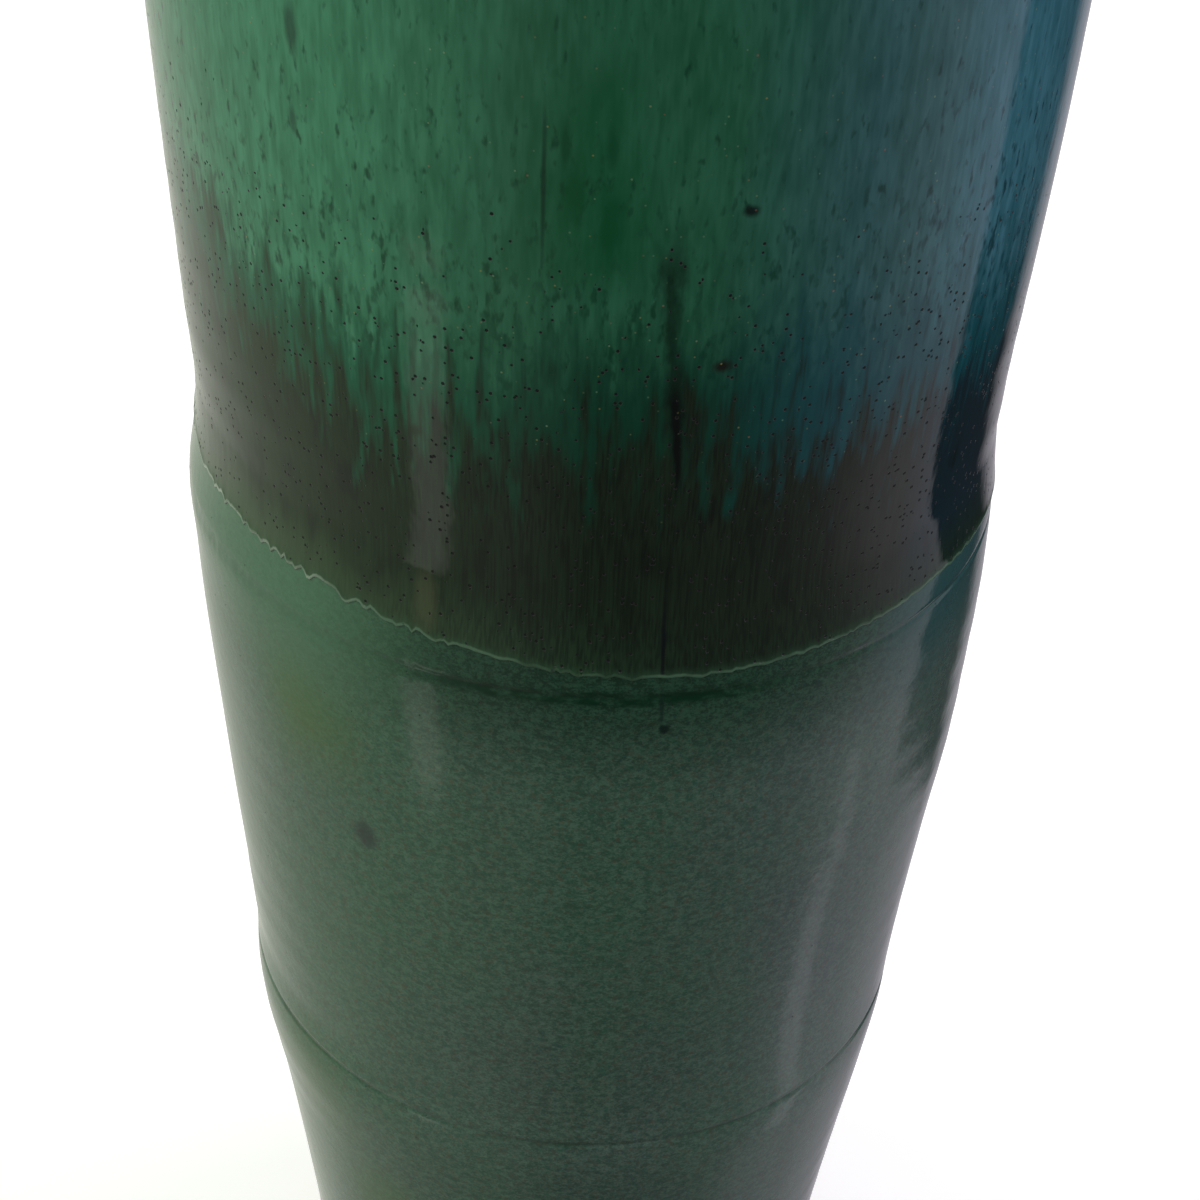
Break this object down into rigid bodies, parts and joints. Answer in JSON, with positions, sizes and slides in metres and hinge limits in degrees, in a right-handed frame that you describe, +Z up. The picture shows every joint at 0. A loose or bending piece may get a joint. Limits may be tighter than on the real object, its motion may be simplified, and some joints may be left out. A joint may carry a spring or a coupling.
{
  "type": "floor vase",
  "caption": "Tall tapering stoneware floor vase with luted thrown sections, a rounded shoulder, short neck and rolled rim, in a running teal glaze over sage green.",
  "frame": {"origin": "middle of the foot's underside, on the surface that the vase stands on", "axes": "+Z up along the vase's axis"},
  "size_m": [0.316, 0.316, 0.9454],
  "materials": {
    "bare_clay": "matte, unglazed, slightly gritty",
    "slip": "matte, hidden in the joints",
    "teal_glaze": "glossy, darkening down through drips to an olive-black band with pinholes",
    "sage_glaze": "glossy, mottled sage green with fine fibrous speckle",
    "lining_glaze": "glossy, dark olive green"
  },
  "bodies": {
    "root": {"foot_ring": "bare_clay", "base_slab": "bare_clay", "lower_wall": "bare_clay", "middle_wall": "bare_clay", "upper_wall": "bare_clay", "shoulder_wall": "bare_clay", "neck_collar": "bare_clay", "rim_roll": "bare_clay", "lower_joint_slip": "slip", "upper_joint_slip": "slip", "shoulder_joint_slip": "slip", "lower_glaze": "sage_glaze", "upper_glaze": "teal_glaze", "lining_glaze": "lining_glaze"}
  },
  "joints": []
}
